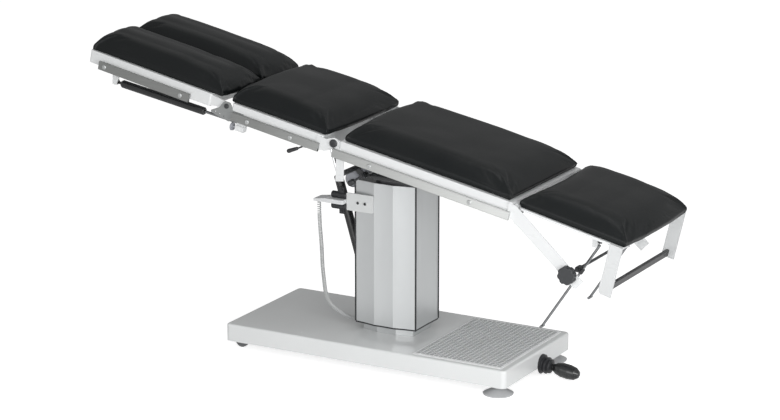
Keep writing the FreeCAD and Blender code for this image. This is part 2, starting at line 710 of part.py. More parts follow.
def hinge_pins():
    """Pins with dark caps at the leg hinges, the middle leg pin with its lug, and the back hinge pins."""
    cap_face = HALF_WIDTH + SPACER
    profile = [(0, 0), (0, PIN_CAP_R), (4, PIN_CAP_R), (6, 6), (6, 0)]
    leg_pin = across(LEG_PIN_U, LEG_PIN_H, PIN_R, EAR_IN - 2, cap_face)
    leg_pin = leg_pin.fuse(turned(profile, V(LEG_PIN_U, cap_face, LEG_PIN_H), V(0, 1, 0)))
    back_face = EYE_SIDE + SIDE_PLATE
    cap = [(0, 0), (0, CAP_R), (5, CAP_R), (8, CAP_R - 4), (8, 5), (6, 5), (6, 0)]
    back_pin = across(0, 0, PIN_R, EAR_IN - 2, back_face)
    back_pin = back_pin.fuse(turned(cap, V(0, back_face, 0), V(0, 1, 0)))
    centre = across(LEG_PIN_U, LEG_PIN_H, PIN_R, -18, 18)
    lug = plate([(SEAT_START, 2), (SEAT_START, -30), (LEG_PIN_U, LEG_PIN_H - 11), (LEG_PIN_U - 6, LEG_PIN_H),
                 (LEG_PIN_U, LEG_PIN_H + 9)], -6, 6)
    lug = lug.fuse(across(LEG_PIN_U, LEG_PIN_H, 11, -6, 6))
    return both(leg_pin) + both(back_pin) + [centre.fuse(lug)]


def cushion(u0, u1, y0, y1, h0, height, edge, end_roll, side_roll, crown):
    """Upholstered pad: a rolled profile along the top crossed with a rolled profile across it."""
    def profile(low, high, roll):
        tuck = 5.0
        shoulder = height - crown
        rise = shoulder - edge
        left = [(low + tuck, 0), (low, edge), (low + 0.28 * roll, edge + 0.66 * rise), (low + roll, shoulder)]
        right = [(high - roll, shoulder), (high - 0.28 * roll, edge + 0.66 * rise), (high, edge), (high - tuck, 0)]
        return left, right, ((low + high) / 2, height)

    def wire(low, high, roll, point):
        left, right, top = profile(low, high, roll)
        p = [point(a, b) for a, b in left]
        q = [point(a, b) for a, b in right]
        edges = [Part.LineSegment(p[0], p[1]), Part.Arc(p[1], p[2], p[3]), Part.Arc(p[3], point(*top), q[0]),
                 Part.Arc(q[0], q[1], q[2]), Part.LineSegment(q[2], q[3]), Part.LineSegment(q[3], p[0])]
        return Part.Face(Part.Wire([e.toShape() for e in edges]))

    along = wire(u0, u1, end_roll, lambda a, b: V(a, y0, h0 + b)).extrude(V(0, y1 - y0, 0))
    side = wire(y0, y1, side_roll, lambda a, b: V(u0, a, h0 + b)).extrude(V(u1 - u0, 0, 0))
    return along.common(side)


# Back section with its arms


KNUCKLE_Y = HALF_WIDTH - 32.0


def back_pan():
    """Long pan of the back, its hinge ears, spring lugs and the two arms that carry the head stays."""
    body = pan(BACK_START, BACK_END, -HALF_WIDTH, HALF_WIDTH, PAN_BOTTOM, 14, [BACK_ANCHOR_U, 560.0])
    inner = HALF_WIDTH - PAN_WALL
    ear = plate([(70, 4), (70, -34), (36, -34), (4, -14), (-8, -8), (0, 14), (36, 10)], EAR_IN, inner)
    ear = ear.fuse(across(0, 0, 14, EAR_IN, inner)).removeSplitter()
    ear = ear.cut(across(0, 0, PIN_R + FIT, EAR_IN - 1, inner + 1))
    cut = block(BACK_START - 1, BACK_START + PAN_WALL + 1, EAR_IN - 1, inner, -36, 11)
    body = body.cut(cut).cut(mirrored(cut))
    body = body.fuse(ear).fuse(mirrored(ear))
    lug_y = BACK_SPRING_Y + EYE_HALF + 1
    lug = plate([(BACK_ANCHOR_U - 18, PAN_BOTTOM + 2), (BACK_ANCHOR_U + 18, PAN_BOTTOM + 2),
                 (BACK_ANCHOR_U + 9, BACK_ANCHOR_H - 9), (BACK_ANCHOR_U - 9, BACK_ANCHOR_H - 9)], lug_y, lug_y + 5)
    body = body.fuse(lug).fuse(mirrored(lug))
    arm = plate([(668, 12), (694, 10), (978, -161), (956, -195), (686, -40), (668, -40)],
                HALF_WIDTH, HALF_WIDTH + SPACER)
    arm = arm.cut(across(STAY_U, STAY_H, TIE_R + FIT, HALF_WIDTH - 1, HALF_WIDTH + 10))
    body = body.fuse(arm).fuse(mirrored(arm))
    tongue = plate([(BACK_END - PAN_WALL, HEAD_PIN_H + 5), (BACK_END - PAN_WALL, HEAD_PIN_H - 12),
                    (HEAD_PIN_U, HEAD_PIN_H - 5), (HEAD_PIN_U, HEAD_PIN_H + 5)], KNUCKLE_Y, KNUCKLE_Y + 8)
    pin = across(HEAD_PIN_U, HEAD_PIN_H, 3, KNUCKLE_Y, KNUCKLE_Y + 18)
    tongue = tongue.fuse(across(HEAD_PIN_U, HEAD_PIN_H, 5, KNUCKLE_Y, KNUCKLE_Y + 8)).fuse(pin)
    body = body.fuse(tongue).fuse(mirrored(tongue))
    return [body]


def star_knob():
    """Lobed knob with the tie rod that clamps the head stays."""
    y0 = -HALF_WIDTH - SPACER - 0.5
    disc = Part.makeCylinder(KNOB_R, KNOB_THICK - 6, V(STAY_U, y0 - 4, STAY_H), V(0, -1, 0))
    for i in range(KNOB_LOBES):
        a = 2 * math.pi * i / KNOB_LOBES
        x = STAY_U + (KNOB_R + 8) * math.cos(a)
        z = STAY_H + (KNOB_R + 8) * math.sin(a)
        disc = disc.cut(Part.makeCylinder(11, KNOB_THICK, V(x, y0, z), V(0, -1, 0)))
    rim = [e for e in disc.Edges if e.BoundBox.YMax < y0 - KNOB_THICK + 3]
    disc = disc.makeFillet(3, rim)
    hub = across(STAY_U, STAY_H, 14, y0 - 5, y0)
    knob = disc.fuse(hub)
    tie = across(STAY_U, STAY_H, TIE_R, y0, HALF_WIDTH + SPACER + 3)
    nut = across(STAY_U, STAY_H, 9, HALF_WIDTH + SPACER + 3, HALF_WIDTH + SPACER + 9)
    return [knob, tie.fuse(nut)]


# Head section


def head_board():
    """Board under the head cushion with its hinge knuckles and the lugs for the stays."""
    board = rounded_block(14, HEAD_LENGTH - 12, -250, 250, -BOARD, 0, 8)
    knuckle = block(0, 15, KNUCKLE_Y + 9, KNUCKLE_Y + 17, -BOARD, -3)
    knuckle = knuckle.fuse(across(0, 0, 6, KNUCKLE_Y + 9, KNUCKLE_Y + 17))
    knuckle = knuckle.cut(across(0, 0, 3 + FIT, KNUCKLE_Y, KNUCKLE_Y + 20))
    return moved(board.fuse(knuckle).fuse(mirrored(knuckle)), HEAD)


def stay_axes():
    """Top pivot of the stay, its direction and the sideways offset of the rod, on the table top."""
    reach = math.hypot(STAY_U - HEAD_PIN_U, STAY_H - HEAD_PIN_H)
    a = math.radians(STAY_TOP_ANGLE)
    pivot = V(HEAD_PIN_U + reach * math.cos(a), 0, HEAD_PIN_H + reach * math.sin(a))
    down = V(STAY_U, 0, STAY_H).sub(pivot)
    down.normalize()
    aside = V(-down.z, 0, down.x)
    return pivot, down, aside


def stay_lugs():
    """Lugs below the head board that hold the top of the stays."""
    pivot = stay_axes()[0]
    y0 = STAY_Y + EYE_HALF + 1
    lug = plate([(pivot.x - 16, -9.5), (pivot.x + 16, -9.5),
                 (pivot.x + 8, pivot.z - 8), (pivot.x - 8, pivot.z - 8)],
                y0, y0 + 5)
    lug = lug.fuse(across(pivot.x, pivot.z, TIE_R, STAY_Y - EYE_HALF, y0 + 1))
    return lug


def stay_rod():
    pivot, down, aside = stay_axes()
    start = V(pivot.x, STAY_Y, pivot.z).add(aside * STAY_OFFSET)
    end = start.add(down * STAY_LENGTH)
    top = start.sub(down * 6)
    rod = bar(top, end, STAY_ROD_R)
    foot = across(end.x, end.z, STAY_ROD_R + 0.5, STAY_Y - 12, STAY_Y + 12)
    eye = across(pivot.x, pivot.z, 10, STAY_Y - EYE_HALF, STAY_Y + EYE_HALF)
    arm = bar(V(pivot.x, STAY_Y, pivot.z), start, STAY_ROD_R)
    rod = rod.fuse(eye).fuse(arm).fuse(foot)
    return rod.cut(across(pivot.x, pivot.z, TIE_R + FIT, STAY_Y - 20, STAY_Y + 20))


def stay_clamp():
    """Clamp that turns on the tie rod and lets the stay slide through."""
    down, aside = stay_axes()[1:]
    centre = V(STAY_U, STAY_Y, STAY_H)
    hub = across(STAY_U, STAY_H, 10, STAY_Y - 11, STAY_Y + 11)
    through = centre.add(aside * STAY_OFFSET)
    sleeve = bar(through.sub(down * 9), through.add(down * 9), STAY_ROD_R + 3.5)
    clamp = hub.fuse(sleeve)
    clamp = clamp.cut(across(STAY_U, STAY_H, TIE_R + FIT, STAY_Y - 30, STAY_Y + 30))
    return clamp.cut(bar(through.sub(down * 30), through.add(down * 30), STAY_ROD_R + 0.4))


U_LEG_START = 350.0
U_LEG_WIDTH = 46.0
U_LEG_DROP = 175.0


def head_legs():
    """Two flat legs that hang from the end of the head board."""
    leg = plate([(U_LEG_START, 0), (U_LEG_START + U_LEG_WIDTH, 0), (U_LEG_START + U_LEG_WIDTH, -U_LEG_DROP),
                 (U_LEG_START + 8, -U_LEG_DROP), (U_LEG_START, -U_LEG_DROP + 10)], 250, 256)
    return both(leg)


def head_bar():
    """Dark flat bar between the legs, with its end caps, and the rubber buffers of the board."""
    low = -U_LEG_DROP + 4
    body = block(U_LEG_START + 12, U_LEG_START + 24, -250, 250, low, low + 24)
    edges = [e for e in body.Edges if abs(e.tangentAt(e.FirstParameter).y) > 0.9]
    body = body.makeFillet(3, edges)
    pieces = [body]
    for u in (20.0, 310.0):
        for y in (-238.0, 238.0):
            pieces.append(Part.makeCylinder(8, 8, V(u, y, -BOARD - 8)))
    return pieces


# Leg sections


def leg_pan():
    """Pan of the near leg section with its hinge ears and the spring lug."""
    y0 = -HALF_WIDTH
    y1 = -LEG_SPLIT / 2
    body = rounded_block(LEG_START, LEG_END, y0, y1, LEG_BOTTOM, LEG_TOP, 5)
    inner = rounded_block(LEG_START + PAN_WALL, LEG_END - PAN_WALL, y0 + PAN_WALL, y1 - PAN_WALL, LEG_BOTTOM,
                          LEG_TOP - PAN_WALL, 3)
    body = body.cut(inner)
    outer_ear = ear_plate(-HALF_WIDTH + PAN_WALL, -EAR_IN)
    inner_ear = ear_plate(-18, -12)
    body = body.fuse(outer_ear).fuse(inner_ear)
    lug_y = -LEG_SPRING_Y - EYE_HALF - 6
    lug = plate([(LEG_EYE_U - 14, LEG_BOTTOM), (LEG_EYE_U + 20, LEG_BOTTOM), (LEG_EYE_U + 8, LEG_EYE_H - 8),
                 (LEG_EYE_U - 8, LEG_EYE_H - 8)], lug_y, lug_y + 5)
    rib = block(LEG_EYE_U - 14, LEG_EYE_U + 20, y0 + 1, y1 - 1, LEG_BOTTOM, LEG_BOTTOM + 4)
    pin = across(LEG_EYE_U, LEG_EYE_H, PIN_R - 1, lug_y, -LEG_SPRING_Y + EYE_HALF + 2)
    return body.fuse(rib).fuse(lug).fuse(pin).removeSplitter()


def ear_plate(y0, y1):
    low, high = min(y0, y1), max(y0, y1)
    ear = plate([(LEG_END - 60, LEG_BOTTOM + 4), (LEG_END - 60, LEG_TOP - PAN_WALL), (LEG_END, LEG_TOP - PAN_WALL),
                 (LEG_PIN_U - 6, LEG_PIN_H + 11), (LEG_PIN_U + 5, LEG_PIN_H), (LEG_PIN_U - 6, LEG_PIN_H - 11),
                 (LEG_END, LEG_BOTTOM + 4)], low, high)
    ear = ear.fuse(across(LEG_PIN_U, LEG_PIN_H, 12, low, high))
    return ear.cut(across(LEG_PIN_U, LEG_PIN_H, PIN_R + FIT, low - 1, high + 1))


def about_leg_pin(shape):
    """Leg pieces are drawn level with the top and then lifted a little about the leg pin."""
    back = FreeCAD.Placement(V(-LEG_PIN_U, 0, -LEG_PIN_H), FreeCAD.Rotation())
    return moved(moved(shape, back), LEG)


# Gas springs


def spring_body(start, end, share, radius, y, tip):
    """Cylinder of a gas spring with its eye at the start; share is its part of the whole length."""
    axis = end.sub(start)
    length = axis.Length
    axis.normalize()
    eye = across(start.x, start.z, PIN_R + EYE_WALL, y - EYE_HALF, y + EYE_HALF)
    neck = 26.0
    stem = bar(start, start.add(axis * neck), 5)
    body_length = length * share
    profile = [(neck - 2, 0), (neck - 2, radius - 4), (neck + 4, radius), (body_length - 4, radius),
               (body_length, radius - 3), (body_length, 0)]
    tube = turned(profile, start, axis)
    tube = tube.fuse(stem).fuse(eye)
    bore = bar(start.add(axis * (neck + 10)), end, tip + 0.3)
    tube = tube.cut(bore)
    return tube


def spring_rod(start, end, share, y, tip, stroke):
    """Rod of a gas spring: it starts inside the cylinder and ends in an eye."""
    axis = end.sub(start)
    length = axis.Length
    axis.normalize()
    inside = start.add(axis * (length * share - stroke))
    rod = bar(inside, end, tip)
    eye = across(end.x, end.z, PIN_R + EYE_WALL, y - EYE_HALF, y + EYE_HALF)
    return rod.fuse(eye)


def leg_spring(side):
    y = side * LEG_SPRING_Y
    start = lifted(LEG_EYE_U, y, LEG_EYE_H)
    end = V(LEG_ANCHOR_U, y, LEG_ANCHOR_H)
    body = spring_body(start, end, 0.7, 14, y, 5)
    body = body.cut(across(start.x, start.z, PIN_R - 1 + FIT, y - 20, y + 20))
    rod = spring_rod(start, end, 0.7, y, 5, 40)
    rod = rod.cut(across(LEG_ANCHOR_U, LEG_ANCHOR_H, PIN_R - 1, y - 20, y + 20))
    return body, rod


def back_spring(side):
    y = side * BACK_SPRING_Y
    start = V(BACK_EYE_U, y, BACK_EYE_H)
    end = V(BACK_ANCHOR_U, y, BACK_ANCHOR_H)
    body = spring_body(start, end, 0.86, 11, y, 4)
    body = body.cut(across(BACK_EYE_U, BACK_EYE_H, PIN_R + FIT, y - 20, y + 20))
    rod = spring_rod(start, end, 0.86, y, 4, 170)
    rod = rod.cut(across(BACK_ANCHOR_U, BACK_ANCHOR_H, PIN_R, y - 20, y + 20))
    return body, rod


def tilt_strut():
    start = V(STRUT_FOOT_X, 0, STRUT_FOOT_Z)
    end = on_top(STRUT_TOP_U, STRUT_TOP_H)
    body = spring_body(start, end, 0.69, 16, 0, 6)
    body = body.cut(across(STRUT_FOOT_X, STRUT_FOOT_Z, PIN_R + FIT, -20, 20))
    rod = spring_rod(start, end, 0.69, 0, 6, 90)
    return body, rod


# Levers and small knobs


def seat_lever():
    """Release lever below the seat: pivot, thin stem and round grip."""
    y = -HALF_WIDTH + 12
    pivot = V(-112, y, PAN_BOTTOM - 8)
    knee = V(-138, y, PAN_BOTTOM - 26)
    tip = V(-176, y, PAN_BOTTOM - 50)
    hub = across(pivot.x, pivot.z, 7, y - 5, y + 5)
    stem = bar(pivot, knee, 3)
    run = tip.sub(knee)
    grip = turned([(0, 0), (0, 4), (4, 6), (run.Length - 4, 7.5), (run.Length, 5), (run.Length, 0)], knee, run)
    lever = hub.fuse(stem).fuse(grip)
    return lever.cut(across(pivot.x, pivot.z, 3 + FIT, y - 10, y + 10))


def seat_lever_bracket():
    """Small ears below the seat pan that hold the release lever's pin."""
    y = -HALF_WIDTH + 12
    u = -112.0
    h = PAN_BOTTOM - 8
    ear = plate([(u - 8, PAN_BOTTOM), (u + 8, PAN_BOTTOM), (u + 5, h - 6), (u - 5, h - 6)], y + 5.5, y + 8.5)
    other = plate([(u - 8, PAN_BOTTOM), (u + 8, PAN_BOTTOM), (u + 5, h - 6), (u - 5, h - 6)], y - 8.5, y - 5.5)
    foot = block(u - 8, u + 8, -HALF_WIDTH, y + 8.5, PAN_BOTTOM - 0.5, PAN_BOTTOM)
    pin = across(u, h, 3, y - 8.5, y + 8.5)
    return ear.fuse(other).fuse(pin).fuse(foot)


def latch_knob():
    """Flat round knob on the near spring anchor."""
    profile = [(-8.5, 0), (-8.5, LATCH_R), (9, LATCH_R), (10, 13), (17, 14), (18, 12), (18, 0)]
    return turned(profile, LATCH, LATCH_RUN)


def back_lever():
    """Release lever of the back springs, on the near spring pin, with a dark knob."""
    y0 = -BACK_SPRING_Y - EYE_HALF - 7
    u, h = BACK_EYE_U, BACK_EYE_H
    hub = across(u, h, 9, y0 - 8, y0)
    tip = V(44, y0 - 4, -148)
    start = V(u, y0 - 4, h)
    arm = bar(start, tip, 4)
    run = tip.sub(start)
    run.normalize()
    knob = turned([(0, 0), (0, 7), (5, 10), (20, 10.5), (26, 8), (28, 0)], tip.sub(run * 6), run)
    lever = hub.fuse(arm).fuse(knob)
    return lever.cut(across(u, h, PIN_R + FIT, y0 - 20, y0 + 1))


def main():
    os.makedirs("parts", exist_ok=True)

    save("base_cover", base_cover())
    save("chassis_frame", chassis_frame())
    save("tread_mat", tread_mat())
    foot_low = CHASSIS_BOTTOM + CHASSIS_TUBE_H + COLUMN_PLATE
    save("column_foot_tube", column_tube(FOOT_INSET, STAGE_WALL, foot_low, FOOT_TOP))
    save("lift_drive", lift_drive())
    save("levelling_feet", [levelling_foot(-TRACK), levelling_foot(TRACK)])
    save("lever_boot", lever_boot())
    save("cord_gland", cord_gland())
    save("handset_cord", cord_tube())
    save("foot_lever", foot_lever())
    save("transport_wheels", [wheel(WHEEL_X, y, WHEEL_Z, 25, 9, 6 + FIT) for y in (-WHEEL_Y, WHEEL_Y)])
    for name, y in (("near", -CASTOR_TRACK), ("far", CASTOR_TRACK)):
        save("castor_fork_" + name, castor_fork(y))
        save("castor_wheel_" + name, wheel(CASTOR_X - CASTOR_TRAIL, y, CASTOR_R, CASTOR_R, CASTOR_HALF, 4 + FIT))

    save("column_middle_tube", column_tube(STAGE_STEP, STAGE_WALL, MIDDLE_BOTTOM, MIDDLE_TOP))
    save("guide_pads", guide_pads())
    seals = column_seals()
    save("column_seals", seals)
    save("column_cover", column_cover(seals))
    save("tilt_mounts", tilt_mounts())
    save("head_skirt", head_skirt())
    save("tilt_motor", tilt_motor())
    save("handset_plate", handset_plate())
    save("handset_grips", handset_grips())
    save("handset", handset())

    roll = FreeCAD.Placement(V(0, 0, TILT_Z), FreeCAD.Rotation(V(0, 1, 0), TOP_TILT))
    save("tilt_block", tilt_block(), roll)
    save("carrier_frame", carrier_frame(), TOP)
    save("seat_pan", [seat_pan(), seat_lever_bracket()], TOP)
    save("side_brackets", side_brackets(), TOP)
    save("gusset_plates", gusset_plates(), TOP)
    save("seat_rails", both_rails(-400, -52, RAIL_TOP, (-336, -163)), TOP)
    save("hinge_pins", hinge_pins(), TOP)
    save("seat_cushion", cushion(-425, -32, -CUSHION_HALF, CUSHION_HALF, 12 + CUSHION_GAP, 72, 24, 78, 58, 4), TOP)
    save("seat_lever", seat_lever(), TOP)
    save("latch_knob", latch_knob(), TOP)
    save("back_lever", back_lever(), TOP)

    save("back_pan", back_pan(), TOP)
    save("back_rails", both_rails(4, 680, RAIL_TOP, (151, 534)), TOP)
    save("back_cushion", cushion(26, 673, -CUSHION_HALF, CUSHION_HALF, 14 + CUSHION_GAP, 76, 24, 90, 60, 4), TOP)
    save("star_knob", star_knob(), TOP)

    board = head_board()
    lugs = [moved(s, TOP) for s in both(stay_lugs())]
    save("head_board", board.fuse(lugs[0]).fuse(lugs[1]))
    save("head_legs", head_legs(), HEAD)
    save("head_bar", head_bar(), HEAD)
    save("head_cushion", cushion(4, HEAD_LENGTH, -252, 252, CUSHION_GAP, 78, 24, 96, 60, 4), HEAD)
    save("stay_rods", both(stay_rod()), TOP)
    save("stay_clamps", both(stay_clamp()), TOP)

    near_pan = leg_pan()
    near_rail = rail(-957, -578, -8, (-933, -613), -1)
    near_cushion = cushion(-1008, -455, -256, -LEG_SPLIT / 2 - 1, LEG_TOP + CUSHION_GAP, 72, 24, 96, 58, 4)
    for name, flip in (("near", False), ("far", True)):
        for label, solids in (("pan", [near_pan]), ("rail", near_rail), ("cushion", [near_cushion])):
            pieces = [mirrored(s) for s in solids] if flip else solids
            save("leg_" + label + "_" + name, [about_leg_pin(s) for s in pieces])
    for name, side in (("near", -1), ("far", 1)):
        body, rod = leg_spring(side)
        save("leg_spring_body_" + name, body, TOP)
        save("leg_spring_rod_" + name, rod, TOP)

    near_back = back_spring(-1)
    far_back = back_spring(1)
    save("back_spring_bodies", [near_back[0], far_back[0]], TOP)
    save("back_spring_rods", [near_back[1], far_back[1]], TOP)
    strut_body, strut_rod = tilt_strut()
    save("tilt_strut_body", strut_body)
    save("tilt_strut_rod", strut_rod)


main()
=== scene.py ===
import bpy
import bmesh
import math
from mathutils import Matrix, Vector, noise


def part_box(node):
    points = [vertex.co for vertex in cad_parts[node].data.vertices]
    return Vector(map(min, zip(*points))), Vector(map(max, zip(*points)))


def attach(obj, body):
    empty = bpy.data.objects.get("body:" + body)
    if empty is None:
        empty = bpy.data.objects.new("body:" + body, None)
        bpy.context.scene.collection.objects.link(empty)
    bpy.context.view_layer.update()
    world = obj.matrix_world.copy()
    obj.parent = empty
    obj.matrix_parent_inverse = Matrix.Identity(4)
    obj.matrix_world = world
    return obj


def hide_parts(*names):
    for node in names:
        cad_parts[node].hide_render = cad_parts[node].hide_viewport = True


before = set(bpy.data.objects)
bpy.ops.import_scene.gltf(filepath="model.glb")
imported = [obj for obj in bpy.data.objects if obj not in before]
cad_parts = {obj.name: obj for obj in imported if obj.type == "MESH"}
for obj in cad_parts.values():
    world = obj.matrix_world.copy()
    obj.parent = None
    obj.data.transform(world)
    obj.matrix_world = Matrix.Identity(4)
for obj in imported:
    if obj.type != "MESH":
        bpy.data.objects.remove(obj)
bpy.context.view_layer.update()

# Operating table: pads, curly cord, tread mat and all finishes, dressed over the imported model.
# Metres; +X to the head end, -Y to the near side, +Z up.

COLUMN_X = 0.055

# Where the sections of the top lie
TOP_TILT = math.radians(11.3)
TOP = Matrix.Translation((COLUMN_X - 0.098, 0, 0.8)) @ Matrix.Rotation(TOP_TILT, 4, "Y")
LEG_PIN = (-0.429, 0, -0.004)
LEG_LIFT = math.radians(0.5)
LEG = TOP @ Matrix.Translation(LEG_PIN) @ Matrix.Rotation(LEG_LIFT, 4, "Y") @ Matrix.Translation(
    (-LEG_PIN[0], 0, -LEG_PIN[2]))
HEAD_PIN = (0.688, 0, 0.004)
HEAD_DROP = math.radians(1.7)
HEAD = TOP @ Matrix.Translation(HEAD_PIN) @ Matrix.Rotation(HEAD_DROP, 4, "Y")
SCREW_HEAD_Y = 0.2723

# Hand control's curly cord: the route in part.py, in metres
CORD_ROUTE = [(COLUMN_X + x, y, z) for x, y, z in (
    (-0.252, -0.099, 0.549), (-0.252, -0.099, 0.492), (-0.248, -0.099, 0.434), (-0.244, -0.097, 0.374),
    (-0.243, -0.096, 0.314), (-0.238, -0.093, 0.256), (-0.236, -0.087, 0.208), (-0.222, -0.076, 0.168),
    (-0.195, -0.057, 0.140), (-0.160, -0.036, 0.116), (-0.106, -0.020, 0.106))]
CORD_OUTER = 0.0075
PLATE_SCREWS = (COLUMN_X - 0.096, COLUMN_X - 0.068)
PLATE_SCREW_Y = -0.105
PLATE_SCREW_Z = 0.556
SOCKET_R = 0.0052
WIRE_R = 0.0021
WIRE_SIDES = 8
OPEN_TURNS = 0.05
OPEN_PITCH = 0.0078
CLOSED_PITCH = 0.0052
TURN_STEPS = 14


class Value:
    """An output of a shader node; arithmetic on it adds Math nodes."""

    def __init__(self, paint, socket):
        self.paint = paint
        self.socket = socket

    def math(self, operation, *terms, clamp=False):
        settings = {"operation": operation, "use_clamp": clamp}
        return self.paint.node("ShaderNodeMath", settings, dict(enumerate(terms)))

    def __add__(self, other):
        return self.math("ADD", self, other)

    __radd__ = __add__

    def __sub__(self, other):
        return self.math("SUBTRACT", self, other)

    def __rsub__(self, other):
        return self.math("SUBTRACT", other, self)

    def __mul__(self, other):
        return self.math("MULTIPLY", self, other)

    __rmul__ = __mul__

    def above(self, edge, softness):
        """0 below the edge, 1 above it, with a soft step between."""
        return self.math("MULTIPLY_ADD", self, 1 / softness, 0.5 - edge / softness, clamp=True)


class Paint:
    """A node tree that is being put together for one finish."""

    def __init__(self, tree):
        self.tree = tree

    def node(self, kind, settings=None, inputs=None, output=0):
        made = self.tree.nodes.new(kind)
        for key, value in (settings or {}).items():
            setattr(made, key, value)
        for key, value in (inputs or {}).items():
            self.feed(made.inputs[key], value)
        return Value(self, made.outputs[output])

    def feed(self, socket, value):
        if isinstance(value, Value):
            self.tree.links.new(value.socket, socket)
        else:
            socket.default_value = value

    def place(self, stretch=(1, 1, 1), turn=0.0):
        """Point on the object, turned about Y and stretched, for grain that runs one way."""
        point = self.node("ShaderNodeTexCoord", output=3)
        return self.node("ShaderNodeMapping", None, {0: point, 2: (0, turn, 0), 3: stretch})

    def axis(self, name):
        point = self.node("ShaderNodeTexCoord", output=3)
        return self.node("ShaderNodeSeparateXYZ", None, {0: point}, "XYZ".index(name))

    def noise(self, where, scale, detail=3.0, roughness=0.5):
        return self.node("ShaderNodeTexNoise", None, {"Vector": where, "Scale": scale, "Detail": detail,
                                                      "Roughness": roughness})

    def cells(self, where, scale, feature="F1"):
        return self.node("ShaderNodeTexVoronoi", {"feature": feature}, {"Vector": where, "Scale": scale})

    def mix(self, factor, low, high):
        settings = {"data_type": "RGBA", "clamp_factor": True}
        return self.node("ShaderNodeMix", settings, {0: factor, 6: colour(low), 7: colour(high)}, 2)

    def bump(self, height, distance, strength=1.0):
        inputs = {"Height": height, "Distance": distance, "Strength": strength}
        return self.node("ShaderNodeBump", None, inputs)


def colour(value):
    return value if isinstance(value, Value) else (*value, 1.0)


def finish(name, constants):
    """New material with its shader's constant values set."""
    material = bpy.data.materials.new(name)
    material.use_nodes = True
    shader = material.node_tree.nodes["Principled BSDF"]
    for key, value in constants.items():
        shader.inputs[key].default_value = value
    return material, Paint(material.node_tree), shader.inputs


def leatherette():
    """Charcoal upholstery: fine pebble grain, soft mottling and slightly worn sheen."""
    material, paint, shader = finish("charcoal_leatherette", {"Specular IOR Level": 0.20})
    where = paint.place()
    pebble = paint.cells(where, 620.0, "SMOOTH_F1")
    pores = paint.noise(where, 1400.0, 2.0)
    mottle = paint.noise(where, 5.0, 4.0)
    creases = paint.noise(where, 38.0, 5.0, 0.6)
    dark, light = (0.0050, 0.0064, 0.0070), (0.0078, 0.0092, 0.0096)
    paint.feed(shader["Base Color"], paint.mix(mottle.above(0.5, 0.5), dark, light))
    paint.feed(shader["Roughness"], 0.31 + 0.10 * mottle + 0.06 * pebble)
    relief = 0.5 * pebble + 0.15 * pores + 0.5 * creases
    paint.feed(shader["Normal"], paint.bump(relief, 0.0006, 0.55))
    return material


def enamel(name, low, high, roughness):
    """Smooth stove enamel: faint unevenness in colour and gloss, and a trace of orange peel."""
    material, paint, shader = finish(name, {"Coat Roughness": 0.12})
    where = paint.place()
    cloud = paint.noise(where, 3.5, 3.0)
    peel = paint.noise(where, 420.0, 1.0)
    smear = paint.noise(paint.place((1, 1, 4)), 9.0, 4.0)
    paint.feed(shader["Base Color"], paint.mix(cloud, low, high))
    paint.feed(shader["Roughness"], roughness + 0.10 * smear)
    paint.feed(shader["Coat Weight"], 0.25 + 0.1 * cloud)
    paint.feed(shader["Normal"], paint.bump(peel, 0.0002, 0.12))
    return material


def silver_cover():
    """Satin silver powder coat of the column, with fine grit, and upright bands of lighter and darker
    silver that are painted reflection.
    """
    material, paint, shader = finish("column_silver", {})
    where = paint.place()
    grit = paint.cells(where, 1300.0)
    # Noise stretched upright into vertical bands of lighter and darker silver: painted reflection standing
    # in for the facets' reflections.
    cloud = paint.noise(paint.place((1, 1, 0.3)), 7.0, 3.0)
    paint.feed(shader["Base Color"], paint.mix(cloud, (0.52, 0.535, 0.54), (0.60, 0.615, 0.62)))
    paint.feed(shader["Metallic"], 0.5 + 0.1 * cloud)
    paint.feed(shader["Roughness"], 0.27 + 0.06 * grit + 0.06 * cloud)
    paint.feed(shader["Normal"], paint.bump(grit, 0.00015, 0.25))
    return material


def brushed_rail():
    """Stainless side rail, brushed along its length; its colour carries a painted reflection, dark towards
    the foot end and bright towards the head end.
    """
    material, paint, shader = finish("brushed_rail", {"Metallic": 1.0})
    along = paint.place((4, 500, 500), -TOP_TILT)
    lines = paint.noise(along, 1.0, 4.0, 0.65)
    wear = paint.noise(paint.place(), 16.0, 4.0)
    # Painted reflection: darker steel towards the foot end, brighter steel towards the head end, blended
    # along X.
    dim_reflection_foot_end = paint.mix(lines, (0.20, 0.205, 0.20), (0.33, 0.335, 0.33))
    bright_reflection_head_end = paint.mix(lines, (0.50, 0.51, 0.50), (0.68, 0.69, 0.68))
    steel = paint.mix(paint.axis("X").above(COLUMN_X + 0.05, 0.9), dim_reflection_foot_end, bright_reflection_head_end)
    outside = paint.axis("Y").math("ABSOLUTE", paint.axis("Y"))
    head = outside.above(SCREW_HEAD_Y, 0.0004)
    paint.feed(shader["Base Color"], paint.mix(head, steel, (0.46, 0.47, 0.47)))
    paint.feed(shader["Roughness"], 0.24 + 0.14 * lines + 0.08 * wear)
    paint.feed(shader["Normal"], paint.bump(lines, 0.0002, 0.3))
    return material


def bright_steel(name, low, high):
    """Polished and chromed steel with faint smudges."""
    material, paint, shader = finish(name, {"Metallic": 1.0})
    where = paint.place()
    smudge = paint.noise(where, 30.0, 5.0)
    paint.feed(shader["Base Color"], paint.mix(smudge, low, high))
    paint.feed(shader["Roughness"], 0.07 + 0.14 * smudge)
    paint.feed(shader["Normal"], paint.bump(smudge, 0.0003, 0.06))
    return material


def dark_paint(name, low, high, roughness):
    """Black paint with a little dust and fine texture."""
    material, paint, shader = finish(name, {})
    where = paint.place()
    dust = paint.noise(where, 24.0, 5.0)
    grit = paint.cells(where, 900.0)
    paint.feed(shader["Base Color"], paint.mix(dust.above(0.55, 0.4), low, high))
    paint.feed(shader["Roughness"], roughness + 0.12 * dust)
    paint.feed(shader["Normal"], paint.bump(grit, 0.0002, 0.25))
    return material


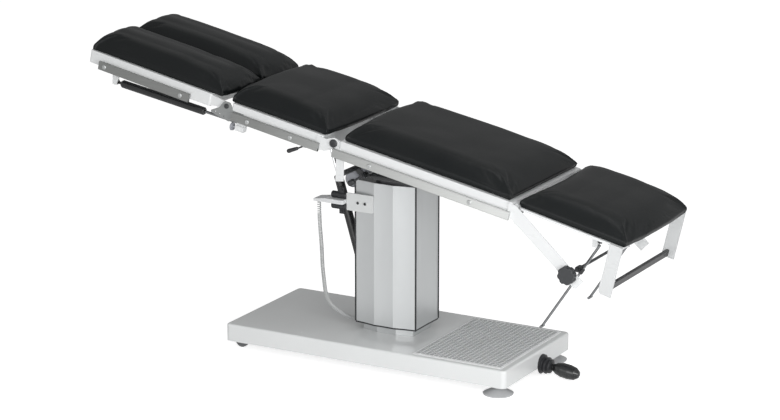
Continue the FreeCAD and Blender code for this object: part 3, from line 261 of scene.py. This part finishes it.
def rubber(name, low, high, roughness):
    """Matt rubber with fine pores and a little bloom."""
    material, paint, shader = finish(name, {"Specular IOR Level": 0.4})
    where = paint.place()
    bloom = paint.noise(where, 18.0, 4.0)
    pores = paint.noise(where, 1100.0, 2.0)
    paint.feed(shader["Base Color"], paint.mix(bloom, low, high))
    paint.feed(shader["Roughness"], roughness + 0.14 * bloom)
    paint.feed(shader["Normal"], paint.bump(pores, 0.0002, 0.4))
    return material


def screwed_plate():
    """Grey enamel of the holder, with the dark sockets of its two screws."""
    material, paint, shader = finish("plate_enamel", {})
    where = paint.place()
    cloud = paint.noise(where, 9.0, 3.0)
    socket = 0.0
    for x in PLATE_SCREWS:
        centre = (x, PLATE_SCREW_Y, PLATE_SCREW_Z)
        away = paint.node("ShaderNodeVectorMath", {"operation": "DISTANCE"}, {0: where, 1: centre}, 1)
        socket = 1 - away.above(SOCKET_R, 0.0008) + socket
    plain = paint.mix(cloud, (0.62, 0.635, 0.635), (0.70, 0.71, 0.71))
    paint.feed(shader["Base Color"], paint.mix(socket, plain, (0.015, 0.015, 0.016)))
    paint.feed(shader["Roughness"], 0.3 + 0.1 * cloud)
    paint.feed(shader["Normal"], paint.bump(paint.noise(where, 500.0, 1.0), 0.0002, 0.12))
    return material


def moulded(name, low, high, roughness):
    """Moulded plastic with a fine spark-eroded grain."""
    material, paint, shader = finish(name, {})
    where = paint.place()
    grain = paint.cells(where, 1000.0)
    cloud = paint.noise(where, 12.0, 3.0)
    paint.feed(shader["Base Color"], paint.mix(cloud, low, high))
    paint.feed(shader["Roughness"], roughness + 0.08 * grain + 0.06 * cloud)
    paint.feed(shader["Normal"], paint.bump(grain, 0.00015, 0.35))
    return material


def wear(nodes, material):
    """These CAD nodes show this finish."""
    for name in nodes:
        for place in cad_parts[name].material_slots:
            place.material = material


def new_piece(name, vertices, faces, material, smooth=True):
    mesh = bpy.data.meshes.new(name)
    mesh.from_pydata(vertices, [], faces)
    mesh.materials.append(material)
    if smooth:
        mesh.polygons.foreach_set("use_smooth", [True] * len(mesh.polygons))
    mesh.update()
    piece = bpy.data.objects.new(name, mesh)
    bpy.context.scene.collection.objects.link(piece)
    return piece


# Pads

PAD_STEP = 0.0065
PAD_VOXEL = 0.006
PAD_PRESSURE = 4.0
PAD_FRAMES = 20
PAD_CAP = 0.007
PAD_EDGE = 0.017
PAD_TUCK = 0.006
PAD_CROWN = 0.008
PAD_DOME = 2.3
PAD_BELLY = 0.012
PAD_SAG = 0.0018
PAD_PUCKER = 0.0012
PAD_PUSH = 0.002
PAD_RIM = 0.012
MITRE_SHARP = 0.003
MITRE_SOFT = 0.040


def half_profile(low, middle, height, roll):
    """Half a pad's section as (place, height) points: tucked foot, low side, domed slope, crowned top."""
    points = []
    steps = 7
    for i in range(steps):
        a = i / (steps - 1)
        points.append((low + PAD_TUCK * (1 - math.sin(a * math.pi / 2)) ** 1.3, PAD_EDGE * a))
    shoulder = height - PAD_CROWN
    steps = 26
    for i in range(1, steps + 1):
        reach = (i / steps) ** 1.6
        rise = 1 - (1 - reach) ** PAD_DOME
        points.append((low + roll * reach, PAD_EDGE + (shoulder - PAD_EDGE) * rise))
    start = low + roll
    count = max(3, int((middle - start) / PAD_STEP / 1.4))
    for i in range(1, count + 1):
        a = i / count
        points.append((start + (middle - start) * a, shoulder + PAD_CROWN * math.sin(a * math.pi / 2)))
    return points


def pad_profile(low, high, height, low_roll, high_roll):
    """Section of a pad from its low end to its high one."""
    middle = (low + high) / 2
    front = half_profile(low, middle, height, low_roll)
    back = [(low + high - x, z) for x, z in half_profile(low, middle, height, high_roll)]
    return front + back[-2::-1]


def soft_min(a, b, k):
    h = max(k - abs(a - b), 0.0) / k
    return min(a, b) - h * h * k * 0.25


def pad_piece(name, u0, u1, y0, y1, h0, height, end_rolls, end_bellies, side_roll, place, material):
    """Upholstered pad: two rolled sections crossed, mitred softly at the corners, with a flat underside."""
    along = pad_profile(u0, u1, height, *end_rolls)
    side = pad_profile(y0, y1, height, side_roll, side_roll)
    rows = len(along)
    columns = len(side)
    vertices = []
    for x, zx in along:
        for y, zy in side:
            soft = MITRE_SHARP + MITRE_SOFT * (min(zx, zy) / height) ** 2
            z = soft_min(zx, zy, soft)
            v = (x - u0) / (u1 - u0)
            belly = end_bellies[1] * v - end_bellies[0] * (1 - v)
            belly *= math.sin(math.pi * (y - y0) / (y1 - y0))
            vertices.append((x + belly, y, h0 + max(z, 0.0)))
    faces = []
    for i in range(rows - 1):
        for j in range(columns - 1):
            a = i * columns + j
            faces.append((a, a + columns, a + columns + 1, a + 1))
    rim = [i * columns for i in range(rows)]
    rim += [(rows - 1) * columns + j for j in range(1, columns)]
    rim += [i * columns + columns - 1 for i in range(rows - 2, -1, -1)]
    rim += [j for j in range(columns - 2, 0, -1)]
    faces.append(tuple(rim))
    piece = new_piece(name, vertices, faces, material)
    swell(piece, h0 + 0.0015)
    slacken(piece, (u0, u1, y0, y1, h0, height))
    piece.data.transform(place)
    return piece


def run_modifier(piece, name, kind, settings):
    """Adds one modifier, applies it to the mesh and takes it off again."""
    modifier = piece.modifiers.new(name, kind)
    for key, value in settings.items():
        setattr(modifier, key, value)
    graph = bpy.context.evaluated_depsgraph_get()
    made = bpy.data.meshes.new_from_object(piece.evaluated_get(graph))
    piece.modifiers.remove(modifier)
    piece.data = made
    made.polygons.foreach_set("use_smooth", [True] * len(made.polygons))


def swell(piece, rest):
    """Blows the pad up as stuffed cloth, its underside held: the sides pull in between the corners."""
    skin = {"mode": "VOXEL", "voxel_size": PAD_VOXEL, "use_smooth_shade": True}
    run_modifier(piece, "skin", "REMESH", skin)
    start = [v.co.copy() for v in piece.data.vertices]
    held = piece.vertex_groups.new(name="underside")
    held.add([i for i, p in enumerate(start) if p.z < rest], 1.0, "REPLACE")
    cloth = piece.modifiers.new("stuffing", "CLOTH")
    cloth.settings.quality = 4
    cloth.settings.mass = 0.4
    cloth.settings.tension_stiffness = 12
    cloth.settings.compression_stiffness = 12
    cloth.settings.bending_stiffness = 0.3
    cloth.settings.use_pressure = True
    cloth.settings.uniform_pressure_force = PAD_PRESSURE
    cloth.settings.vertex_group_mass = held.name
    cloth.settings.effector_weights.gravity = 0
    scene = bpy.context.scene
    for number in range(1, PAD_FRAMES + 1):
        scene.frame_set(number)
    graph = bpy.context.evaluated_depsgraph_get()
    blown = piece.evaluated_get(graph).to_mesh()
    ends = [v.co.copy() for v in blown.vertices]
    piece.evaluated_get(graph).to_mesh_clear()
    piece.modifiers.remove(cloth)
    for vertex, a, b in zip(piece.data.vertices, start, ends):
        move = b - a
        if move.length > PAD_CAP:
            move *= PAD_CAP / move.length
        vertex.co = a + move
    piece.vertex_groups.clear()
    scene.frame_set(1)
    run_modifier(piece, "smooth", "SUBSURF", {"levels": 1})


def slacken(piece, sizes):
    """Small sags and puckers that real upholstery has, strongest towards the corners."""
    u0, u1, y0, y1, h0, height = sizes
    for vertex in piece.data.vertices:
        x, y, z = vertex.co
        near_end = min(x - u0, u1 - x)
        near_side = min(y - y0, y1 - y)
        level = (z - h0) / height
        if level < 0.05:
            continue
        corner = math.exp(-((near_end / 0.10) ** 2 + (near_side / 0.08) ** 2))
        wave = noise.noise(Vector((x * 9, y * 9, z * 14)))
        pucker = noise.noise(Vector((x * 34 + 5, y * 34, z * 30)))
        vertex.co.z += (PAD_SAG * wave + PAD_PUCKER * corner * pucker) * min(1.0, level * 1.6)
        # The sides belly out between the corners.
        belly = math.sin(math.pi * min(1.0, level / 0.75)) if level < 0.75 else 0.0
        if near_side < PAD_RIM:
            push = PAD_PUSH * belly * min(1.0, near_end / 0.12)
            vertex.co.y += push if y > (y0 + y1) / 2 else -push
        if near_end < PAD_RIM:
            push = PAD_PUSH * belly * min(1.0, near_side / 0.12)
            vertex.co.x += push if x > (u0 + u1) / 2 else -push


def pads(material):
    """The five pads of the table top."""
    half = 0.256
    split = 0.003
    round_ends = (PAD_BELLY, PAD_BELLY)
    made = {}
    made["seat"] = pad_piece("seat_pad", -0.425, -0.032, -half, half, 0.0123, 0.074,
                             (0.054, 0.150), round_ends, 0.095, TOP, material)
    made["back"] = pad_piece("back_pad", 0.026, 0.673, -half, half, 0.0143, 0.078,
                             (0.065, 0.180), (PAD_BELLY, 0.0), 0.100, TOP, material)
    made["head"] = pad_piece("head_pad", 0.004, 0.405, -0.252, 0.252, 0.0003, 0.080,
                             (0.130, 0.150), (-0.002, PAD_BELLY), 0.100, HEAD, material)
    for side, y0, y1 in (("near", -half, -split), ("far", split, half)):
        made["leg_" + side] = pad_piece("leg_pad_" + side, -1.008, -0.455, y0, y1, 0.0173, 0.074,
                                        (0.061, 0.170), round_ends, 0.090, LEG, material)
    nodes = {"seat": "seat_cushion", "back": "back_cushion", "head": "head_cushion",
             "leg_near": "leg_cushion_near", "leg_far": "leg_cushion_far"}
    for body, piece in made.items():
        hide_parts(nodes[body])
        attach(piece, body)


# Curly cord


def cord_line():
    """Points along the smooth line of the cord."""
    curve = bpy.data.curves.new("cord_route", "CURVE")
    curve.dimensions = "3D"
    spline = curve.splines.new("NURBS")
    spline.points.add(len(CORD_ROUTE) - 1)
    for point, place in zip(spline.points, CORD_ROUTE):
        point.co = (*place, 1)
    spline.order_u = 3
    spline.use_endpoint_u = True
    curve.resolution_u = 24
    route = bpy.data.objects.new("cord_route", curve)
    bpy.context.scene.collection.objects.link(route)
    line = bpy.data.meshes.new_from_object(route)
    points = [v.co.copy() for v in line.vertices]
    bpy.data.objects.remove(route)
    bpy.data.curves.remove(curve)
    return points


def at_length(points, lengths, s):
    """Point and direction at a distance along the line."""
    for i in range(1, len(points)):
        if lengths[i] >= s or i == len(points) - 1:
            span = lengths[i] - lengths[i - 1]
            t = (s - lengths[i - 1]) / span
            return points[i - 1].lerp(points[i], t), (points[i] - points[i - 1]).normalized()


def curly_cord(material):
    """Wire wound closely round the route: open turns at the hand control, closed ones below."""
    points = cord_line()
    lengths = [0.0]
    for a, b in zip(points, points[1:]):
        lengths.append(lengths[-1] + (b - a).length)
    total = lengths[-1]
    centres = []
    turn = 0.0
    s = 0.0
    while s <= total:
        middle, direction = at_length(points, lengths, s)
        side = direction.cross(Vector((0, 1, 0))).normalized()
        other = direction.cross(side)
        radius = CORD_OUTER - WIRE_R
        centres.append(middle + radius * (math.cos(turn) * side + math.sin(turn) * other))
        pitch = OPEN_PITCH if s < OPEN_TURNS else CLOSED_PITCH
        turn += 2 * math.pi / TURN_STEPS
        s += pitch / TURN_STEPS
    vertices = []
    for i, centre in enumerate(centres):
        before = centres[max(i - 1, 0)]
        after = centres[min(i + 1, len(centres) - 1)]
        run = (after - before).normalized()
        side = run.cross(Vector((0, 1, 0.001))).normalized()
        other = run.cross(side)
        for k in range(WIRE_SIDES):
            a = 2 * math.pi * k / WIRE_SIDES
            vertices.append(centre + WIRE_R * (math.cos(a) * side + math.sin(a) * other))
    faces = []
    for i in range(len(centres) - 1):
        for k in range(WIRE_SIDES):
            n = (k + 1) % WIRE_SIDES
            a = i * WIRE_SIDES
            faces.append((a + k, a + n, a + WIRE_SIDES + n, a + WIRE_SIDES + k))
    faces.append(tuple(range(WIRE_SIDES)))
    last = (len(centres) - 1) * WIRE_SIDES
    faces.append(tuple(last + k for k in reversed(range(WIRE_SIDES))))
    cord = new_piece("curly_cord", vertices, faces, material)
    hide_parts("handset_cord")
    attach(cord, "base")


# Tread mat

MAT_LOW, MAT_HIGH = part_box("tread_mat")
MAT_PITCH = 0.017
MAT_GROOVE = 0.0042
MAT_BORDER = 0.001


def tread_mat(material):
    """Mat of square flat studs with shallow grooves both ways."""
    low, high = MAT_LOW, MAT_HIGH
    base_top = low[2] + 0.0012
    mesh = bmesh.new()

    def box(x0, x1, y0, y1, z0, z1, inset):
        lower = [mesh.verts.new(p) for p in ((x0, y0, z0), (x1, y0, z0), (x1, y1, z0), (x0, y1, z0))]
        upper = [mesh.verts.new(p) for p in ((x0 + inset, y0 + inset, z1), (x1 - inset, y0 + inset, z1),
                                             (x1 - inset, y1 - inset, z1), (x0 + inset, y1 - inset, z1))]
        mesh.faces.new(upper)
        for i in range(4):
            mesh.faces.new((lower[i], lower[(i + 1) % 4], upper[(i + 1) % 4], upper[i]))
        return lower

    foot = box(low[0], high[0], low[1], high[1], low[2], base_top, 0.0004)
    mesh.faces.new(list(reversed(foot)))
    columns = int((high[0] - low[0] - 2 * MAT_BORDER) / MAT_PITCH)
    rows = int((high[1] - low[1] - 2 * MAT_BORDER) / MAT_PITCH)
    first_x = (low[0] + high[0] - columns * MAT_PITCH) / 2
    first_y = (low[1] + high[1] - rows * MAT_PITCH) / 2
    for i in range(columns):
        for j in range(rows):
            x = first_x + i * MAT_PITCH + MAT_GROOVE / 2
            y = first_y + j * MAT_PITCH + MAT_GROOVE / 2
            size = MAT_PITCH - MAT_GROOVE
            box(x, x + size, y, y + size, base_top, high[2], 0.0007)
    data = bpy.data.meshes.new("tread_mat_studs")
    mesh.to_mesh(data)
    mesh.free()
    data.materials.append(material)
    piece = bpy.data.objects.new("tread_mat_studs", data)
    bpy.context.scene.collection.objects.link(piece)
    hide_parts("tread_mat")
    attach(piece, "base")


def mat_rubber():
    """Grey mat, toned by height: the studs' tops are darker, and the grooves between them are painted pale,
    as painted light over the shade that falls in them.
    """
    material, paint, shader = finish("mat_rubber", {})
    height = paint.axis("Z")
    stud = height.above(MAT_LOW[2] + 0.0016, 0.0008)
    cloud = paint.noise(paint.place(), 14.0, 4.0)
    grit = paint.cells(paint.place(), 900.0)
    # Painted light: the recessed grooves get a pale colour to offset the shade that falls in them.
    groove_painted_pale = paint.mix(cloud, (0.90, 0.91, 0.915), (0.95, 0.955, 0.96))
    top = paint.mix(cloud, (0.40, 0.41, 0.415), (0.48, 0.49, 0.495))
    paint.feed(shader["Base Color"], paint.mix(stud, groove_painted_pale, top))
    paint.feed(shader["Roughness"], 0.5 + 0.15 * cloud)
    paint.feed(shader["Normal"], paint.bump(grit, 0.0002, 0.3))
    return material


# Studio

BRIGHT_SIDE = (0.78, -0.62)
VIEW_AZIMUTH = math.radians(29.15)
VIEW_ELEVATION = math.radians(15.26)
VIEW_AIM = Vector((COLUMN_X - 0.028, 0, 0.516))
VIEW_DISTANCE = 9.552
VIEW_LENS = 128.17
FLOOR_REACH = 14.0


def camera():
    flat = math.cos(VIEW_ELEVATION)
    back = Vector((math.sin(VIEW_AZIMUTH) * flat, -math.cos(VIEW_AZIMUTH) * flat, math.sin(VIEW_ELEVATION)))
    data = bpy.data.cameras.new("camera")
    data.lens = VIEW_LENS
    data.sensor_width = 36
    data.clip_end = 60
    eye = bpy.data.objects.new("camera", data)
    eye.location = VIEW_AIM + back * VIEW_DISTANCE
    eye.rotation_euler = (-back).to_track_quat("-Z", "Y").to_euler()
    bpy.context.scene.collection.objects.link(eye)
    bpy.context.scene.camera = eye


def lamp(name, place, aim, size, power):
    data = bpy.data.lights.new(name, "AREA")
    data.shape = "RECTANGLE"
    data.size, data.size_y = size
    data.energy = power
    light = bpy.data.objects.new(name, data)
    light.location = place
    light.rotation_euler = (Vector(aim) - Vector(place)).to_track_quat("-Z", "Y").to_euler()
    bpy.context.scene.collection.objects.link(light)


def seen_directly(paint):
    """1 for rays of the camera, of reflections and of transmission, 0 for those that light the table."""
    camera_ray = paint.node("ShaderNodeLightPath", output="Is Camera Ray")
    glossy_ray = paint.node("ShaderNodeLightPath", output="Is Glossy Ray")
    through_ray = paint.node("ShaderNodeLightPath", output="Is Transmission Ray")
    return camera_ray, glossy_ray.math("MAXIMUM", glossy_ray, through_ray)


def along(paint, direction, rise):
    """How far a direction or place lies towards the brighter side of the room."""
    bright = (*BRIGHT_SIDE, rise)
    return paint.node("ShaderNodeVectorMath", {"operation": "DOT_PRODUCT"}, {0: direction, 1: bright}, 1)


def studio():
    """Wide soft light from the front, a weak one above, and a pale room that is white behind the table."""
    lamp("front", (0.6, -4.6, 1.5), (0, 0, 0.45), (3.4, 2.2), 70)
    lamp("right", (3.1, -2.0, 1.25), (0.1, 0, 0.35), (1.3, 1.2), 47)
    lamp("overhead", (0.9, 0.2, 4.0), (0, 0, 0.5), (2.6, 1.6), 21)
    world = bpy.data.worlds.new("studio")
    bpy.context.scene.world = world
    world.use_nodes = True
    paint = Paint(world.node_tree)
    toward = paint.node("ShaderNodeTexCoord", output=0)
    facing = along(paint, toward, 0.1)
    room = facing.math("MAXIMUM", facing, 0.0) * 0.55 + 0.17
    camera_ray, mirror_ray = seen_directly(paint)
    mirrored = facing * 0.32 + 0.64
    strength = room + mirror_ray * (mirrored - room)
    strength = strength + camera_ray * (1 - strength)
    background = world.node_tree.nodes["Background"]
    paint.feed(background.inputs["Strength"], strength)
    background.inputs["Color"].default_value = (1, 1, 1, 1)
    floor()


def floor():
    """Pale floor that looks white and keeps the table's shadow."""
    corners = [(FLOOR_REACH * x, FLOOR_REACH * y, 0) for x, y in ((-1, -1), (1, -1), (1, 1), (-1, 1))]
    material = bpy.data.materials.new("pale_floor")
    material.use_nodes = True
    paint = Paint(material.node_tree)
    shader = material.node_tree.nodes["Principled BSDF"]
    shader.inputs["Roughness"].default_value = 0.9
    shader.inputs["Specular IOR Level"].default_value = 0.1
    shader.inputs["Emission Strength"].default_value = 1.0
    cloud = paint.noise(paint.place(), 2.0, 2.0)
    paint.feed(shader.inputs["Base Color"], paint.mix(cloud, (0.80, 0.80, 0.80), (0.83, 0.83, 0.83)))
    camera_ray, mirror_ray = seen_directly(paint)
    place = paint.node("ShaderNodeTexCoord", output=3)
    toward = along(paint, place, 0)
    mirrored = 0.16 + 0.62 * toward.above(0.0, 3.6)
    glow = 0.78 * camera_ray + mirrored * mirror_ray
    grey = paint.node("ShaderNodeCombineColor", None, {0: glow, 1: glow, 2: glow})
    paint.feed(shader.inputs["Emission Color"], grey)
    ground = new_piece("floor", corners, [(0, 1, 2, 3)], material, smooth=False)


def dress_frame():
    """Finishes of the CAD nodes."""
    wear(["back_pan", "seat_pan", "side_brackets", "leg_pan_near", "leg_pan_far", "head_board"],
         enamel("white_enamel", (0.77, 0.785, 0.79), (0.83, 0.84, 0.845), 0.24))
    wear(["head_legs"], enamel("leg_enamel", (0.62, 0.635, 0.64), (0.68, 0.69, 0.695), 0.24))
    wear(["base_cover"], enamel("base_enamel", (0.77, 0.785, 0.785), (0.83, 0.845, 0.845), 0.2))
    wear(["column_cover", "column_middle_tube", "column_foot_tube"], silver_cover())
    wear(["handset_plate"], screwed_plate())
    wear(["gusset_plates"], enamel("gusset_enamel", (0.22, 0.23, 0.23), (0.30, 0.31, 0.31), 0.3))
    wear(["seat_rails", "back_rails", "leg_rail_near", "leg_rail_far"], brushed_rail())
    wear(["tilt_block", "back_spring_rods", "tilt_strut_rod", "castor_fork_near", "castor_fork_far"],
         bright_steel("bright_steel", (0.72, 0.73, 0.74), (0.82, 0.83, 0.84)))
    wear(["stay_rods", "leg_spring_rod_near", "leg_spring_rod_far"],
         bright_steel("dark_steel", (0.16, 0.165, 0.17), (0.26, 0.265, 0.27)))
    wear(["levelling_feet"], enamel("foot_paint", (0.50, 0.51, 0.52), (0.60, 0.61, 0.62), 0.3))
    wear(["castor_wheel_near", "castor_wheel_far"],
         rubber("grey_rubber", (0.16, 0.165, 0.17), (0.24, 0.245, 0.25), 0.4))
    wear(["chassis_frame", "tilt_motor", "lift_drive", "latch_knob"],
         dark_paint("grey_paint", (0.30, 0.31, 0.34), (0.38, 0.39, 0.42), 0.32))
    wear(["carrier_frame", "head_skirt", "tilt_mounts", "head_bar", "stay_clamps", "seat_lever"],
         dark_paint("black_paint", (0.018, 0.019, 0.021), (0.035, 0.036, 0.038), 0.3))
    wear(["leg_spring_body_near", "leg_spring_body_far", "back_spring_bodies", "tilt_strut_body",
          "foot_lever"],
         dark_paint("black_gloss", (0.012, 0.013, 0.014), (0.020, 0.021, 0.022), 0.16))
    wear(["star_knob", "back_lever", "hinge_pins", "guide_pads", "cord_gland"],
         moulded("black_moulding", (0.022, 0.024, 0.027), (0.032, 0.034, 0.037), 0.32))
    wear(["column_seals", "lever_boot", "transport_wheels", "handset_grips"],
         rubber("black_rubber", (0.014, 0.015, 0.017), (0.026, 0.027, 0.030), 0.38))
    wear(["handset"], moulded("light_moulding", (0.70, 0.71, 0.72), (0.76, 0.77, 0.78), 0.35))


camera()
curly_cord(moulded("cord_jacket", (0.50, 0.51, 0.51), (0.60, 0.61, 0.61), 0.4))
dress_frame()
pads(leatherette())
tread_mat(mat_rubber())
studio()
bpy.context.scene.view_settings.view_transform = "Standard"
